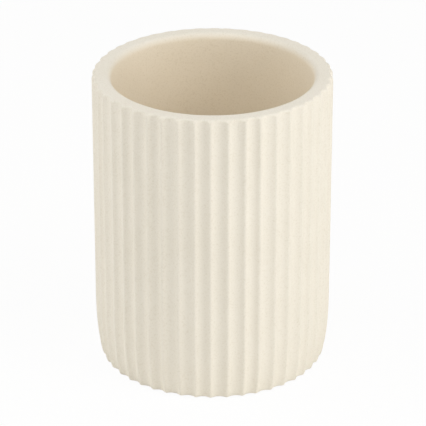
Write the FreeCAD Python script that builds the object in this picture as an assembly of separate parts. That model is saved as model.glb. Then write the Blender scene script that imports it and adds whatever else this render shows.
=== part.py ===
import FreeCAD, Part
import math
import os

# Bathroom tumbler: a cup cast in one piece from stone-filled resin, fluted outside and smooth
# inside. It stands on a foam pad that is stuck into a shallow recess under its base.
# Millimetres, +Z up. The origin is the middle of the pad's underside, where the tumbler rests.

# Cup
overall_height = 100.0       # resting face to rim
outer_radius = 39.0          # over the ridges between the flutes
wall_thickness = 6.2         # ridge to inside, at the rim
floor_thickness = 7.0        # base to inside
rim_outer_rounding = 1.3
rim_inner_rounding = 2.4
floor_rounding = 5.0         # inside, where the wall meets the floor
foot_height = 21.4           # from the base up to where the side is straight
foot_inset = 2.2             # how far the side has curved in at the base
foot_turn = 80.0             # degrees of a quarter ellipse that the foot's curve covers
foot_steps = 8               # points that the foot's curve is drawn through

# Flutes
flute_count = 46
flute_depth = 0.95
ridge_width = 0.6            # plain strip between two flutes

# Pad and its adhesive film
pad_margin = 5.0             # ring of the base left round the recess
pad_clearance = 0.4          # round the pad, in its recess
pad_thickness = 1.6
pad_edge_rounding = 0.3
pad_stands_proud = 0.4       # below the base
adhesive_thickness = 0.15
adhesive_setback = 1.0       # film's edge inside the pad's edge

cut_overrun = 1.0            # how far a cut runs past the surface that it opens
lip_share = 0.5              # of half a ridge, covered by the flute's cut outside the surface
overrun_turn = 5.0           # degrees that a flute's cut follows the foot's curve below the base

# Levels and radii that follow from these
base_level = pad_stands_proud
recess_level = pad_thickness + adhesive_thickness
floor_level = base_level + floor_thickness
foot_level = base_level + foot_height
bore_radius = outer_radius - wall_thickness
base_edge_radius = outer_radius - foot_inset
recess_radius = base_edge_radius - pad_margin
pad_radius = recess_radius - pad_clearance
adhesive_radius = pad_radius - adhesive_setback

z_axis = FreeCAD.Vector(0, 0, 1)
origin = FreeCAD.Vector(0, 0, 0)


def at(radius, height, angle=0.0):
    # A point by its distance from the axis, its height and its angle round the axis
    return FreeCAD.Vector(radius * math.cos(angle), radius * math.sin(angle), height)


def line(start, end):
    return Part.LineSegment(start, end).toShape()


def arc(start, middle, end):
    return Part.Arc(start, middle, end).toShape()


def rounding(centre_radius, centre_height, size, first_angle):
    # A quarter circle in the profile, which begins at first_angle and turns anticlockwise
    points = []
    for turn in (0, math.pi / 4, math.pi / 2):
        across = size * math.cos(first_angle + turn)
        up = size * math.sin(first_angle + turn)
        points.append(at(centre_radius + across, centre_height + up))
    return arc(*points)


def foot_points(last_turn):
    # Radius and height of points along the foot's curve, a stretch of an ellipse that leaves the
    # straight side smoothly and reaches the base where it has turned by foot_turn
    whole_turn = math.radians(foot_turn)
    points = []
    for step in range(foot_steps + 1):
        turn = math.radians(last_turn) * step / foot_steps
        inset = foot_inset * (1 - math.cos(turn)) / (1 - math.cos(whole_turn))
        drop = foot_height * math.sin(turn) / math.sin(whole_turn)
        points.append((outer_radius - inset, foot_level - drop))
    return points


def plain_cup():
    # The cup before it is fluted, turned from one profile
    foot_curve = Part.BSplineCurve()
    foot_curve.interpolate([at(*point) for point in reversed(foot_points(foot_turn))])
    straight_top = overall_height - rim_outer_rounding
    bore_top = overall_height - rim_inner_rounding
    bore_bottom = floor_level + floor_rounding
    rim_outer = outer_radius - rim_outer_rounding
    rim_inner = bore_radius + rim_inner_rounding
    floor_edge = bore_radius - floor_rounding
    profile = Part.Wire([
        line(at(0, recess_level), at(recess_radius, recess_level)),
        line(at(recess_radius, recess_level), at(recess_radius, base_level)),
        line(at(recess_radius, base_level), at(base_edge_radius, base_level)),
        foot_curve.toShape(),
        line(at(outer_radius, foot_level), at(outer_radius, straight_top)),
        rounding(rim_outer, straight_top, rim_outer_rounding, 0),
        line(at(rim_outer, overall_height), at(rim_inner, overall_height)),
        rounding(rim_inner, bore_top, rim_inner_rounding, math.pi / 2),
        line(at(bore_radius, bore_top), at(bore_radius, bore_bottom)),
        arc(
            at(bore_radius, bore_bottom),
            at(floor_edge + floor_rounding * math.cos(math.pi / 4),
               bore_bottom - floor_rounding * math.sin(math.pi / 4)),
            at(floor_edge, floor_level),
        ),
        line(at(floor_edge, floor_level), at(0, floor_level)),
        line(at(0, floor_level), at(0, recess_level)),
    ])
    return Part.Face(profile).revolve(origin, z_axis, 360)


def flute_section(shrink, height):
    # Level outline of one flute's cut: a round hollow between two ridges, closed outside the
    # cup. shrink draws it in towards the axis along the foot's curve.
    valley = outer_radius - flute_depth
    half_ridge = ridge_width / 2 / outer_radius
    edge_angle = math.pi / flute_count - half_ridge
    lip_angle = edge_angle + lip_share * half_ridge
    # The hollow is a circle through both ridge edges and the valley, with its centre outside
    centre = (outer_radius ** 2 - valley ** 2) / (2 * (outer_radius * math.cos(edge_angle) - valley))
    hollow = centre - valley
    lip = centre * math.cos(lip_angle) - math.sqrt(hollow ** 2 - (centre * math.sin(lip_angle)) ** 2)
    outside = outer_radius + cut_overrun
    left_lip = at(shrink * lip, height, lip_angle)
    right_lip = at(shrink * lip, height, -lip_angle)
    left_outside = at(shrink * outside, height, lip_angle)
    right_outside = at(shrink * outside, height, -lip_angle)
    return Part.Wire([
        arc(left_lip, at(shrink * valley, height), right_lip),
        line(right_lip, right_outside),
        arc(right_outside, at(shrink * outside, height), left_outside),
        line(left_outside, left_lip),
    ])


def flute_cuts():
    # One flute's cut: straight from the rim to the foot, then drawn in along the foot's curve
    straight = Part.Face(flute_section(1, foot_level))
    straight = straight.extrude(z_axis * (overall_height + cut_overrun - foot_level))
    sections = []
    for radius, height in foot_points(foot_turn + overrun_turn):
        sections.append(flute_section(radius / outer_radius, height))
    curved = Part.makeLoft(sections, True)
    cuts = []
    for number in range(flute_count):
        for piece in (straight, curved):
            turned = piece.copy()
            turned.rotate(origin, z_axis, (number + 1 / 2) * 360 / flute_count - 90)
            cuts.append(turned)
    return cuts


def tumbler_body():
    return plain_cup().cut(flute_cuts())


def base_pad():
    pad = Part.makeCylinder(pad_radius, pad_thickness)
    lower_edge = [edge for edge in pad.Edges if edge.BoundBox.ZMax < pad_thickness / 2]
    return pad.makeFillet(pad_edge_rounding, lower_edge)


def pad_adhesive():
    return Part.makeCylinder(adhesive_radius, adhesive_thickness, at(0, pad_thickness))


pieces = {
    "tumbler_body": tumbler_body(),
    "base_pad": base_pad(),
    "pad_adhesive": pad_adhesive(),
}

os.makedirs("parts", exist_ok=True)
for name, shape in pieces.items():
    solid, = shape.Solids
    solid.exportStep(f"parts/{name}.step")
    size = solid.optimalBoundingBox()
    print(f"{name}: {size.XLength:.2f} x {size.YLength:.2f} x {size.ZLength:.2f} mm, "
          f"{solid.Volume / 1000:.2f} cm3, valid {solid.isValid()}")
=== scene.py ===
import math
from collections import namedtuple

import bpy
import numpy as np
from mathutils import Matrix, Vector, noise


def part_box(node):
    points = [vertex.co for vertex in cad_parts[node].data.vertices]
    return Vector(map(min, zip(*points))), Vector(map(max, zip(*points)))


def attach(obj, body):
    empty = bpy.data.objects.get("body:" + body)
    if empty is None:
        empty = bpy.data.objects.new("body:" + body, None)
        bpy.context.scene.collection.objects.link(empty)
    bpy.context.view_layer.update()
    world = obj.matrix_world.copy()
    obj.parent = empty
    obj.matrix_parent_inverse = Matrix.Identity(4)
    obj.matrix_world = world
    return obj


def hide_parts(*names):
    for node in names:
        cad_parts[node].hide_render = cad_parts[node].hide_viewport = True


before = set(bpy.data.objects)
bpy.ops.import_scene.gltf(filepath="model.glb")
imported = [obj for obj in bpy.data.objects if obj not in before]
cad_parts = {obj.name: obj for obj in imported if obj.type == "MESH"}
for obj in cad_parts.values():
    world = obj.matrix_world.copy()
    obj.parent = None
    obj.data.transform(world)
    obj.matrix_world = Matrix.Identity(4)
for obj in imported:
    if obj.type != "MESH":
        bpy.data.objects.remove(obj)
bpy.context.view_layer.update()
mm = 0.001
print("frame loaded:", ", ".join(sorted(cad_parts)))


# small helpers

quarters = (0.25, 0.5, 0.75)                                   # shares of a short stretch
mixFactor, mixFirst, mixSecond, mixResult = 0, 6, 7, 2         # sockets of a colour mix


def linearColour(hexCode):
    # sRGB's curve, from a hex code to linear light
    channels = [int(hexCode[i:i + 2], 16) / 255 for i in (1, 3, 5)]
    linear = [c / 12.92 if c <= 0.04045 else ((c + 0.055) / 1.055) ** 2.4 for c in channels]
    return (*linear, 1)


def addNode(tree, kind, values=None, links=None, **settings):
    node = tree.nodes.new(kind)
    for name, setting in settings.items():
        setattr(node, name, setting)
    for socket, value in (values or {}).items():
        node.inputs[socket].default_value = value
    for socket, source in (links or {}).items():
        tree.links.new(source, node.inputs[socket])
    return node


def emptyMaterial(name):
    material = bpy.data.materials.new(name)
    material.use_nodes = True
    material.node_tree.nodes.clear()
    return material, material.node_tree


def objectPlace(tree):
    return addNode(tree, "ShaderNodeTexCoord").outputs["Object"]


def patternScale(size):
    return 1 / (size * mm)


def addSurface(tree, look, links):
    values = {
        "Roughness": look["roughness"],
        "IOR": look["ior"],
        "Specular IOR Level": look["specular"],
    }
    shader = addNode(tree, "ShaderNodeBsdfPrincipled", values=values, links=links)
    addNode(tree, "ShaderNodeOutputMaterial", links={"Surface": shader.outputs[0]})


def quarterTurn(centreRadius, centreHeight, size, startDegrees, endDegrees, steps):
    # radius and height of points along a rounding in the profile
    turns = np.radians(np.linspace(startDegrees, endDegrees, steps + 1))
    return [(centreRadius + size * math.cos(t), centreHeight + size * math.sin(t)) for t in turns]


def roundPiece(name, rings, material):
    # closed mesh from rings of points in mm, which run from the middle of the top face, over the
    # edge and back to the middle of the underside
    columns = len(rings[0])
    points = [p for ring in rings for p in ring]
    faces = []
    for row in range(len(rings) - 1):
        near, far = row * columns, (row + 1) * columns
        for column in range(columns):
            after = (column + 1) % columns
            faces.append((near + column, far + column, far + after, near + after))
    topMiddle, lowMiddle = len(points), len(points) + 1
    lastRow = (len(rings) - 1) * columns
    points += [(0, 0, np.mean([p[2] for p in ring])) for ring in (rings[0], rings[-1])]
    for column in range(columns):
        after = (column + 1) % columns
        faces.append((topMiddle, column, after))
        faces.append((lowMiddle, lastRow + after, lastRow + column))
    mesh = bpy.data.meshes.new(name)
    mesh.from_pydata([Vector(p) * mm for p in points], [], faces)
    mesh.polygons.foreach_set("use_smooth", [True] * len(faces))
    mesh.materials.append(material)
    mesh.update()
    piece = bpy.data.objects.new(name, mesh)
    bpy.context.scene.collection.objects.link(piece)
    return piece


# materials

resinLook = {
    "cream": "#f2ecdf",
    "innerShadeCream": "#f6ebd7",    # inside the cup: painted shade, the warmer cream of the shaded bore
    "cloud": "#f9f8f5",         # shade of slow changes in the cast
    "sand": "#ebe7df",          # shade of the grains of filler
    "grainSize": 0.55,          # mm, coarser than real stone flour so that it shows
    "grainRange": (0.5, 0.75),  # of the noise, from bare resin to a full grain
    "grainShare": 0.55,         # most of the sand's shade that a grain shows
    "cloudSize": 14.0,          # mm
    "poreSpacing": 5.0,         # mm between pinholes
    "poreSize": 0.45,           # mm across
    "poreFloor": 0.4,           # share of a pinhole's width that is its flat floor
    "relief": 0.03,             # mm, height of the grain and depth of a pinhole
    "roughness": 0.72,
    "ior": 1.5,
    "specular": 0.35,
}


def stoneFilledResin():
    # polyester resin with stone flour, cast in a rubber mould: an even matt cream, painted a little
    # deeper inside as shade, with a faint sandy grain, slow cloudy changes of tone and a few pinholes
    look = resinLook
    material, tree = emptyMaterial("stoneFilledResinMatt")
    place = objectPlace(tree)
    grain = addNode(
        tree, "ShaderNodeTexNoise", links={"Vector": place},
        values={"Scale": patternScale(look["grainSize"]), "Detail": 3, "Roughness": 0.6},
    )
    cloud = addNode(
        tree, "ShaderNodeTexNoise", links={"Vector": place},
        values={"Scale": patternScale(look["cloudSize"]), "Detail": 4, "Roughness": 0.55},
    )
    pores = addNode(
        tree, "ShaderNodeTexVoronoi", links={"Vector": place},
        values={"Scale": patternScale(look["poreSpacing"])},
    )
    grainLow, grainHigh = look["grainRange"]
    grainAmount = addNode(
        tree, "ShaderNodeMapRange", links={"Value": grain.outputs["Fac"]},
        values={"From Min": grainLow, "From Max": grainHigh, "To Max": look["grainShare"]},
    )
    reach = look["poreSize"] / 2 / look["poreSpacing"]
    poreDepth = addNode(
        tree, "ShaderNodeMapRange", links={"Value": pores.outputs["Distance"]},
        values={"From Min": reach * look["poreFloor"], "From Max": reach, "To Min": 1, "To Max": 0},
    )
    inside = addNode(tree, "ShaderNodeAttribute", attribute_name="inside")
    # painted shade: a warmer, deeper cream over the inside of the cup, where the bore lies in shade
    tone = addNode(
        tree, "ShaderNodeMix", data_type="RGBA", links={mixFactor: inside.outputs["Fac"]},
        values={mixFirst: linearColour(look["cream"]), mixSecond: linearColour(look["innerShadeCream"])},
    )
    clouded = addNode(
        tree, "ShaderNodeMix", data_type="RGBA", blend_type="MULTIPLY",
        values={mixSecond: linearColour(look["cloud"])},
        links={mixFactor: cloud.outputs["Fac"], mixFirst: tone.outputs[mixResult]},
    )
    sanded = addNode(
        tree, "ShaderNodeMix", data_type="RGBA", blend_type="MULTIPLY",
        values={mixSecond: linearColour(look["sand"])},
        links={mixFactor: grainAmount.outputs["Result"], mixFirst: clouded.outputs[mixResult]},
    )
    relief = addNode(
        tree, "ShaderNodeMath", operation="SUBTRACT",
        links={0: grain.outputs["Fac"], 1: poreDepth.outputs["Result"]},
    )
    bump = addNode(
        tree, "ShaderNodeBump", values={"Strength": 1, "Distance": look["relief"] * mm},
        links={"Height": relief.outputs[0]},
    )
    addSurface(
        tree, look, links={"Base Color": sanded.outputs[mixResult], "Normal": bump.outputs["Normal"]},
    )
    return material


foamLook = {
    "tone": "#c9c3b5",
    "shade": "#b7b0a1",
    "cellSize": 0.7,            # mm
    "cellRelief": 0.05,         # mm
    "roughness": 0.9,
    "ior": 1.48,
    "specular": 0.3,
}


def closedCellFoam():
    # EVA foam sheet, split from a block and die-cut: soft grey-beige, dull, with fine closed cells
    look = foamLook
    material, tree = emptyMaterial("evaFoamSheet")
    cells = addNode(
        tree, "ShaderNodeTexVoronoi", feature="SMOOTH_F1", links={"Vector": objectPlace(tree)},
        values={"Scale": patternScale(look["cellSize"]), "Smoothness": 0.3},
    )
    tone = addNode(
        tree, "ShaderNodeMix", data_type="RGBA", links={mixFactor: cells.outputs["Distance"]},
        values={mixFirst: linearColour(look["shade"]), mixSecond: linearColour(look["tone"])},
    )
    bump = addNode(
        tree, "ShaderNodeBump", values={"Strength": 1, "Distance": look["cellRelief"] * mm},
        links={"Height": cells.outputs["Distance"]},
    )
    addSurface(
        tree, look, links={"Base Color": tone.outputs[mixResult], "Normal": bump.outputs["Normal"]},
    )
    return material


filmLook = {
    "tissue": "#eceadf",
    "fibre": "#dedbcd",
    "fibreLength": 4.0,         # mm
    "fibreWidth": 0.25,         # mm
    "roughness": 0.3,
    "ior": 1.47,
    "specular": 0.5,
}


def tissueTape():
    # acrylic adhesive on a tissue carrier: milky, slightly shiny, with faint fibres
    look = filmLook
    material, tree = emptyMaterial("acrylicTissueTape")
    stretched = addNode(
        tree, "ShaderNodeMapping", links={"Vector": objectPlace(tree)},
        values={"Scale": (patternScale(look["fibreLength"]), patternScale(look["fibreWidth"]), 1)},
    )
    fibres = addNode(
        tree, "ShaderNodeTexNoise", links={"Vector": stretched.outputs[0]},
        values={"Scale": 1, "Detail": 3, "Distortion": 1.5},
    )
    tone = addNode(
        tree, "ShaderNodeMix", data_type="RGBA", links={mixFactor: fibres.outputs["Fac"]},
        values={mixFirst: linearColour(look["tissue"]), mixSecond: linearColour(look["fibre"])},
    )
    addSurface(tree, look, links={"Base Color": tone.outputs[mixResult]})
    return material


# cast cup

cupForm = {                     # mm, except where noted
    "fluteCount": 46,
    "fluteDepth": 0.95,
    "fluteLeast": 0.01,         # shallower than this counts as a ridge
    "crestRadius": 0.95,        # round top of each ridge
    "fluteShares": (0, 0.035, 0.07, 0.11, 0.175, 0.275, 0.385),   # points across half a flute
    "firstRidge": -0.4,         # degrees from the front, to the right
    "ridgeDrift": 0.35,         # degrees, uneven spacing of the master pattern
    "depthDrift": 0.05,         # share of the depth
    "seed": 43951,              # picked for front ridges that lie much as in the photo
    "footHeight": 21.4,
    "footInset": 2.2,
    "footTurn": 80,             # degrees of an ellipse
    "baseEdge": 0.3,
    "basePlain": 1.52,          # in from the base's edge, clear of the flutes
    "rimOuter": 1.3,            # the flutes end in it
    "fluteEndSoft": 0.6,        # softness of that end, a share of the flute's depth
    "rimInner": 1.9,            # inner edge, across
    "rimInnerDrop": 2.4,        # and downwards
    "innerShadeTonePower": 4,        # keeps the painted inner shade low on that edge
    "floorRound": 5.0,
    "floorShares": (0.06, 0.2, 0.4, 0.6, 0.75),                    # rows across the floor
    "recessEdge": 0.25,
    "recessShares": (0.97, 0.6, 0.2),                              # rows across the recess
    "unevenSize": 9.0,          # slow unevenness of the cast wall
    "unevenDepth": 0.035,
}
cupSteps = {                    # rows of points along each stretch of the profile
    "floorRound": 8, "bore": 24, "rimInner": 7, "rimOuter": 10, "side": 34, "foot": 22, "recessEdge": 3,
}
cupRow = namedtuple("cupRow", "radius height fluted uneven inside", defaults=(0, 1, 0))   # shares


def measureCup():
    # radii and levels of the CAD cup, in mm, read from its corners
    clear = 1                   # mm past a wall or a level
    sameLevel = 0.01            # mm
    points = np.array([v.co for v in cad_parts["tumbler_body"].data.vertices]) / mm
    reach = np.hypot(points[:, 0], points[:, 1])
    height = points[:, 2]
    low, high = height.min(), height.max()
    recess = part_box("pad_adhesive")[1].z / mm
    bore = reach[height > (low + high) / 2].min()
    inside = (height > recess + clear) & (reach < bore - clear)
    return {
        "outer": reach.max(), "rim": high, "base": low, "bore": bore, "floor": height[inside].min(),
        "recess": recess, "recessRadius": reach[height < low + sameLevel].min(),
    }


def fluteColumns(outer):
    # angle of each column of points, and how deep the flutes lie there
    form = cupForm
    draw = np.random.RandomState(form["seed"])
    count = form["fluteCount"]
    drift = draw.normal(0, form["ridgeDrift"], count)
    ridges = np.radians(form["firstRidge"] - 90 + np.arange(count) * 360 / count + drift)
    depths = form["fluteDepth"] * (1 + form["depthDrift"] * draw.uniform(-1, 1, count))
    firstHalf = list(form["fluteShares"])
    shares = firstHalf + [1 / 2] + [1 - s for s in reversed(firstHalf[1:])]
    crest = form["crestRadius"]
    angles, hollows = [], []
    for flute in range(count):
        width = (ridges[(flute + 1) % count] - ridges[flute]) % (2 * math.pi)
        half = width * outer / 2
        depth = depths[flute]
        # the hollow's radius and the place where it meets the crest smoothly
        hollow = (half ** 2 + depth ** 2) / (2 * depth) - crest
        touch = half * crest / (crest + hollow)
        for share in shares:
            across = 2 * half * min(share, 1 - share)
            if across < touch:
                inward = crest - math.sqrt(crest ** 2 - across ** 2)
            else:
                inward = depth - hollow + math.sqrt(hollow ** 2 - (half - across) ** 2)
            angles.append(ridges[flute] + width * share)
            hollows.append(inward)
    return np.array(angles), np.array(hollows)


def flutesLeft(hollows, radius, height, cup):
    # depth of the flutes in a row: drawn in with the foot, and worn away by the rim's rounding
    form = cupForm
    if height <= cup["rim"] - form["rimOuter"]:
        return hollows * radius / cup["outer"]
    soft = form["fluteEndSoft"]
    kept = 1 - (cup["outer"] - radius) / np.maximum(hollows, form["fluteLeast"])
    return hollows * (kept + np.sqrt(kept ** 2 + soft ** 2)) / (1 + math.sqrt(1 + soft ** 2))


def footCurve(outer, base):
    # radius and height down the side below its straight part, and round the soft edge under it
    form = cupForm
    whole = math.radians(form["footTurn"])
    edge = form["baseEdge"]
    last = math.asin(math.sin(whole) * (1 - edge / form["footHeight"]))
    curve = []
    for turn in np.linspace(0, last, cupSteps["foot"]):
        radius = outer - form["footInset"] * (1 - math.cos(turn)) / (1 - math.cos(whole))
        height = base + form["footHeight"] * (1 - math.sin(turn) / math.sin(whole))
        curve.append((radius, height))
    start = curve[-1]
    corner = (outer - form["footInset"], base)
    end = (corner[0] - edge, base)
    for s in (*quarters, 1):
        curve.append(tuple(
            (1 - s) ** 2 * a + 2 * s * (1 - s) * b + s ** 2 * c for a, b, c in zip(start, corner, end)
        ))
    return curve


def cupRows(cup):
    # rows from the middle of the floor, over the rim and down to the middle of the recess
    form, steps = cupForm, cupSteps
    outer, rim, base, bore, floor = (cup[k] for k in ("outer", "rim", "base", "bore", "floor"))
    lip, edge, corner = form["rimInner"], form["rimOuter"], form["floorRound"]
    lipLow, straight = rim - form["rimInnerDrop"], rim - edge
    inner = [(bore * s, floor) for s in form["floorShares"]]
    inner += quarterTurn(bore - corner, floor + corner, corner, -90, 0, steps["floorRound"])
    inner += [(bore, z) for z in np.linspace(floor + corner, lipLow, steps["bore"])[1:-1]]
    # inside: how much painted shade of the bore a row gets, full inside and fading over the inner edge
    rows = [cupRow(r, z, inside=1) for r, z in inner]
    for across, up in quarterTurn(0, 0, 1, 180, 90, steps["rimInner"]):
        tone = across ** form["innerShadeTonePower"]
        rows.append(cupRow(bore + lip + across * lip, lipLow + up * (rim - lipLow), inside=tone))
    rows += [cupRow(bore + lip + (outer - edge - bore - lip) * s, rim) for s in quarters]
    side = quarterTurn(outer - edge, straight, edge, 90, 0, steps["rimOuter"])
    foot = footCurve(outer, base)
    side += [(outer, z) for z in np.linspace(straight, foot[0][1], steps["side"])[1:-1]]
    rows += [cupRow(r, z, fluted=1) for r, z in side + foot]
    under, notch = cup["recessRadius"], form["recessEdge"]
    plain = foot[-1][0] - form["basePlain"]
    below = [(r, base) for r in (plain, (plain + under) / 2)]
    below += quarterTurn(under + notch, base + notch, notch, 270, 180, steps["recessEdge"])
    below += [(under * s, cup["recess"]) for s in (1, *form["recessShares"])]
    return rows + [cupRow(r, z, uneven=0) for r, z in below]


def castCup(material):
    form = cupForm
    cup = measureCup()
    angles, hollows = fluteColumns(cup["outer"])
    rows = cupRows(cup)
    rings = []
    for number, row in enumerate(rows):
        before, after = rows[max(number - 1, 0)], rows[min(number + 1, len(rows) - 1)]
        along = Vector((after.radius - before.radius, after.height - before.height)).normalized()
        radii = row.radius - row.fluted * flutesLeft(hollows, row.radius, row.height, cup)
        ring = []
        for angle, r in zip(angles, radii):
            spot = Vector((r * math.cos(angle), r * math.sin(angle), row.height))
            push = row.uneven * form["unevenDepth"] * noise.noise(spot / form["unevenSize"])
            r -= along.y * push
            ring.append((r * math.cos(angle), r * math.sin(angle), row.height + along.x * push))
        rings.append(ring)
    piece = roundPiece("cast_cup", rings, material)
    # painted shade of the bore, carried to the material as the point attribute inside
    inside = np.repeat([row.inside for row in rows], len(angles))
    inside = np.append(inside, (1, 0))                         # middles of the floor and the recess
    piece.data.attributes.new("inside", "FLOAT", "POINT").data.foreach_set("value", inside)
    sizes = {name: round(float(size), 2) for name, size in cup.items()}
    print("cup:", len(rings), "rows of", len(angles), "points, sizes in mm", sizes)
    return piece


# foam pad

padForm = {                     # mm, except where noted
    "columns": 180,             # points round the disc
    "rowSpacing": 1.2,
    "cutEdge": 0.3,             # lower edge, rounded by the die; the upper one is half as round
    "upperSteps": 3,            # points along each edge
    "lowerSteps": 4,
    "sag": 0.12,                # cut side drawn in at half its height
    "cellSize": 1.1,
    "cellDepth": 0.02,
}


def foamPad(material):
    form = padForm
    low, high = (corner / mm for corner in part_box("base_pad"))
    radius, edge = high.x, form["cutEdge"]
    upper = edge / 2
    sideTop, sideLow = high.z - upper, low.z + edge
    turns = np.linspace(0, 2 * math.pi, form["columns"], endpoint=False)
    across = np.arange(form["rowSpacing"], radius - edge, form["rowSpacing"])
    profile = [(r, high.z) for r in across]
    profile += quarterTurn(radius - upper, sideTop, upper, 90, 0, form["upperSteps"])
    for s in quarters:
        drawnIn = form["sag"] * math.sin(math.pi * s)
        profile.append((radius - drawnIn, sideTop + s * (sideLow - sideTop)))
    profile += quarterTurn(radius - edge, sideLow, edge, 0, -90, form["lowerSteps"])
    profile += [(r, low.z) for r in reversed(across)]
    rings = []
    for r, z in profile:
        ring = []
        for turn in turns:
            spot = Vector((r * math.cos(turn), r * math.sin(turn), z))
            dent = form["cellDepth"] * (1 + noise.noise(spot / form["cellSize"])) / 2
            inward = 1 - dent / radius
            toMiddle = dent if z < (low.z + high.z) / 2 else -dent
            ring.append((spot.x * inward, spot.y * inward, z + toMiddle))
        rings.append(ring)
    print("pad:", len(rings), "rows of", form["columns"], "points")
    return roundPiece("foam_pad", rings, material)


# studio

studio = {                      # mm and degrees; azimuth 0 is the camera's side, 90 is the right
    "white": "#ffffff",
    "paper": "#f6f5f2",
    "floorSize": 6000,
    "floorDrop": 0.05,          # below the pad, so that no two faces share a plane
    "whiteShare": 0.94,         # of the floor seen by the camera; the rest keeps the shadow
    "ambient": 0.4,
    "aimHeight": 50,
    "lampDistance": 900,
    "lampSize": 700,
    "lamps": {                  # azimuth, elevation, watts
        "keyRight": (60, 45, 2.2),
        "lowRight": (60, 15, 2.2),
        "frontLeft": (-30, 45, 1.4),
        "sideLeft": (-90, 45, 1.45),
        "lowLeft": (-90, 15, 1.0),
        "lowBack": (180, 15, 0.55),
    },
}


def seenDirectly(tree):
    # 1 for what the camera sees, also in reflections and through glass
    path = addNode(tree, "ShaderNodeLightPath").outputs
    either = addNode(
        tree, "ShaderNodeMath", operation="MAXIMUM",
        links={0: path["Is Camera Ray"], 1: path["Is Glossy Ray"]},
    )
    anyOfThem = addNode(
        tree, "ShaderNodeMath", operation="MAXIMUM",
        links={0: either.outputs[0], 1: path["Is Transmission Ray"]},
    )
    return anyOfThem.outputs[0]


def studioWorld():
    world = bpy.data.worlds.new("studioWorld")
    world.use_nodes = True
    tree = world.node_tree
    tree.nodes.clear()
    strength = addNode(
        tree, "ShaderNodeMapRange", values={"To Min": studio["ambient"], "To Max": 1},
        links={"Value": seenDirectly(tree)},
    )
    background = addNode(
        tree, "ShaderNodeBackground", values={"Color": linearColour(studio["white"])},
        links={"Strength": strength.outputs["Result"]},
    )
    addNode(tree, "ShaderNodeOutputWorld", links={"Surface": background.outputs[0]})
    bpy.context.scene.world = world


def paperFloor():
    # matt white paper, mostly plain white where the camera sees it, so that a trace of shadow stays
    material, tree = emptyMaterial("whitePaperMatt")
    paper = addNode(tree, "ShaderNodeBsdfDiffuse", values={"Color": linearColour(studio["paper"])})
    plainWhite = addNode(tree, "ShaderNodeEmission", values={"Color": linearColour(studio["white"])})
    share = addNode(
        tree, "ShaderNodeMath", operation="MULTIPLY", values={1: studio["whiteShare"]},
        links={0: seenDirectly(tree)},
    )
    mixed = addNode(
        tree, "ShaderNodeMixShader",
        links={0: share.outputs[0], 1: paper.outputs[0], 2: plainWhite.outputs[0]},
    )
    addNode(tree, "ShaderNodeOutputMaterial", links={"Surface": mixed.outputs[0]})
    half, drop = studio["floorSize"] / 2 * mm, -studio["floorDrop"] * mm
    mesh = bpy.data.meshes.new("paper_floor")
    corners = [(-half, -half, drop), (half, -half, drop), (half, half, drop), (-half, half, drop)]
    mesh.from_pydata(corners, [], [(0, 1, 2, 3)])
    mesh.materials.append(material)
    floor = bpy.data.objects.new("paper_floor", mesh)
    bpy.context.scene.collection.objects.link(floor)


def placeAimed(thing, azimuth, elevation, distance, aimHeight):
    # puts a lamp or the camera round the object, facing a point on its axis
    turn, tilt = math.radians(azimuth), math.radians(elevation)
    level = math.cos(tilt)
    away = Vector((math.sin(turn) * level, -math.cos(turn) * level, math.sin(tilt)))
    thing.location = (away * distance + Vector((0, 0, aimHeight))) * mm
    thing.rotation_euler = (-away).to_track_quat("-Z", "Y").to_euler()
    bpy.context.scene.collection.objects.link(thing)


def softLamps():
    for name, (azimuth, elevation, watts) in studio["lamps"].items():
        lamp = bpy.data.lights.new(name, "AREA")
        lamp.shape = "DISK"
        lamp.size = studio["lampSize"] * mm
        lamp.energy = watts
        thing = bpy.data.objects.new(name, lamp)
        thing.visible_camera = False
        placeAimed(thing, azimuth, elevation, studio["lampDistance"], studio["aimHeight"])


cameraView = {                  # mm and degrees, worked out from the photo's rim and foot
    "lens": 237.9,
    "distance": 930,
    "elevation": 25.8,
    "aimHeight": 49.6,
    "sideShift": 0.0012,        # of the picture's width
    "clipStart": 10,
}


def photoCamera():
    view = cameraView
    camera = bpy.data.cameras.new("photoCamera")
    camera.lens = view["lens"]
    camera.shift_x = view["sideShift"]
    camera.clip_start = view["clipStart"] * mm
    thing = bpy.data.objects.new("photoCamera", camera)
    placeAimed(thing, 0, view["elevation"], view["distance"], view["aimHeight"])
    bpy.context.scene.camera = thing


# assembly

cup = castCup(stoneFilledResin())
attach(cup, "root")
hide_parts("tumbler_body")

pad = foamPad(closedCellFoam())
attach(pad, "root")
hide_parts("base_pad")

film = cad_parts["pad_adhesive"]
film.data.materials.clear()
film.data.materials.append(tissueTape())
print("pieces dressed")

paperFloor()
studioWorld()
softLamps()
photoCamera()
bpy.context.scene.view_settings.view_transform = "Standard"
print("studio ready")
